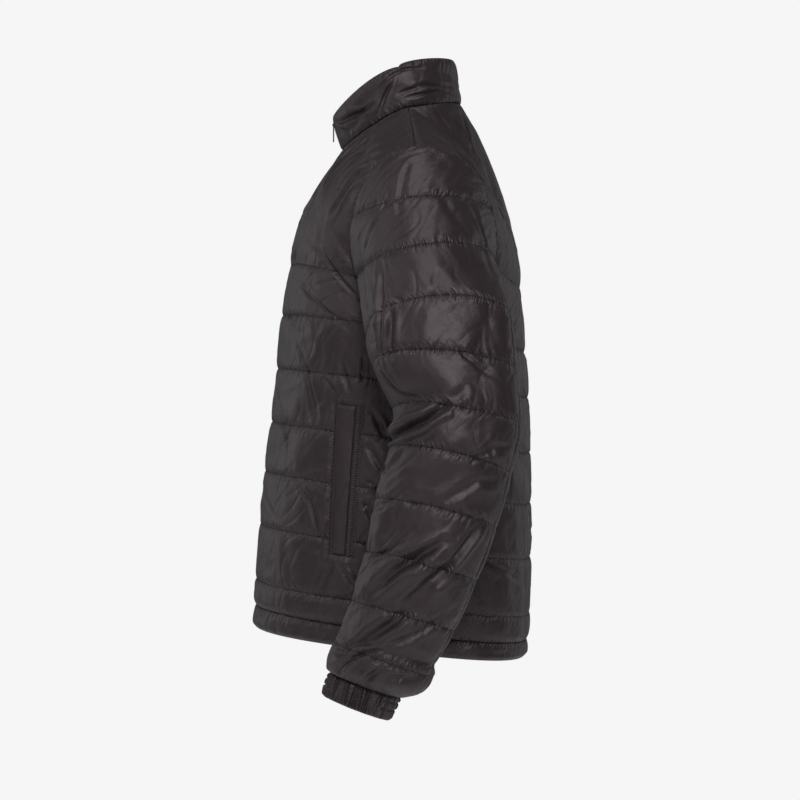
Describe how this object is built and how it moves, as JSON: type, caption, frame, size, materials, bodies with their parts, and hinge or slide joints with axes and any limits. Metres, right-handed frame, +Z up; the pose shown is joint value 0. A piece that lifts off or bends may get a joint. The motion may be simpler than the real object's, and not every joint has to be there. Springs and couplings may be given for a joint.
{
  "type": "quilted track jacket",
  "caption": "Padded zip-up track jacket with a stand collar, level quilted channels, welt pockets and gathered cuffs, filled out as worn with no wearer.",
  "frame": {"origin": "middle of the jacket at shoulder height, where the wearer's shoulders carry it", "axes": "+X towards the wearer's left, -Y towards the wearer's front, +Z up"},
  "size_m": [0.7132, 0.3344, 0.7673],
  "materials": {
    "shell_cloth": "dark warm grey woven polyester with a satin sheen",
    "cuff_elastic": "the shell cloth gathered on elastic",
    "zip_tape": "woven tape with coil teeth",
    "zip_metal": "dark grey, satin"
  },
  "bodies": {
    "shell": {"front_left": "shell_cloth", "front_right": "shell_cloth", "back": "shell_cloth", "sleeve_upper_left": "shell_cloth", "sleeve_upper_right": "shell_cloth", "sleeve_under_left": "shell_cloth", "sleeve_under_right": "shell_cloth", "collar": "shell_cloth", "hem_band_front_left": "shell_cloth", "hem_band_front_right": "shell_cloth", "hem_band_back": "shell_cloth", "pocket_welt_left": "shell_cloth", "pocket_welt_right": "shell_cloth", "cuff_left": "cuff_elastic", "cuff_right": "cuff_elastic", "pocket_zip_left": "zip_tape", "pocket_zip_right": "zip_tape", "zip_left": "zip_tape", "zip_right": "zip_tape", "zip_slider": "zip_metal"},
    "pull_tab": {"zip_pull": "zip_metal"}
  },
  "joints": [
    {"name": "zip_pull_swing", "type": "hinge", "parent": "shell", "child": "pull_tab", "pos_m": [0, -0.08099, -0.00011], "axis": [-1, 0, 0], "range_deg": [0, 150]}
  ]
}
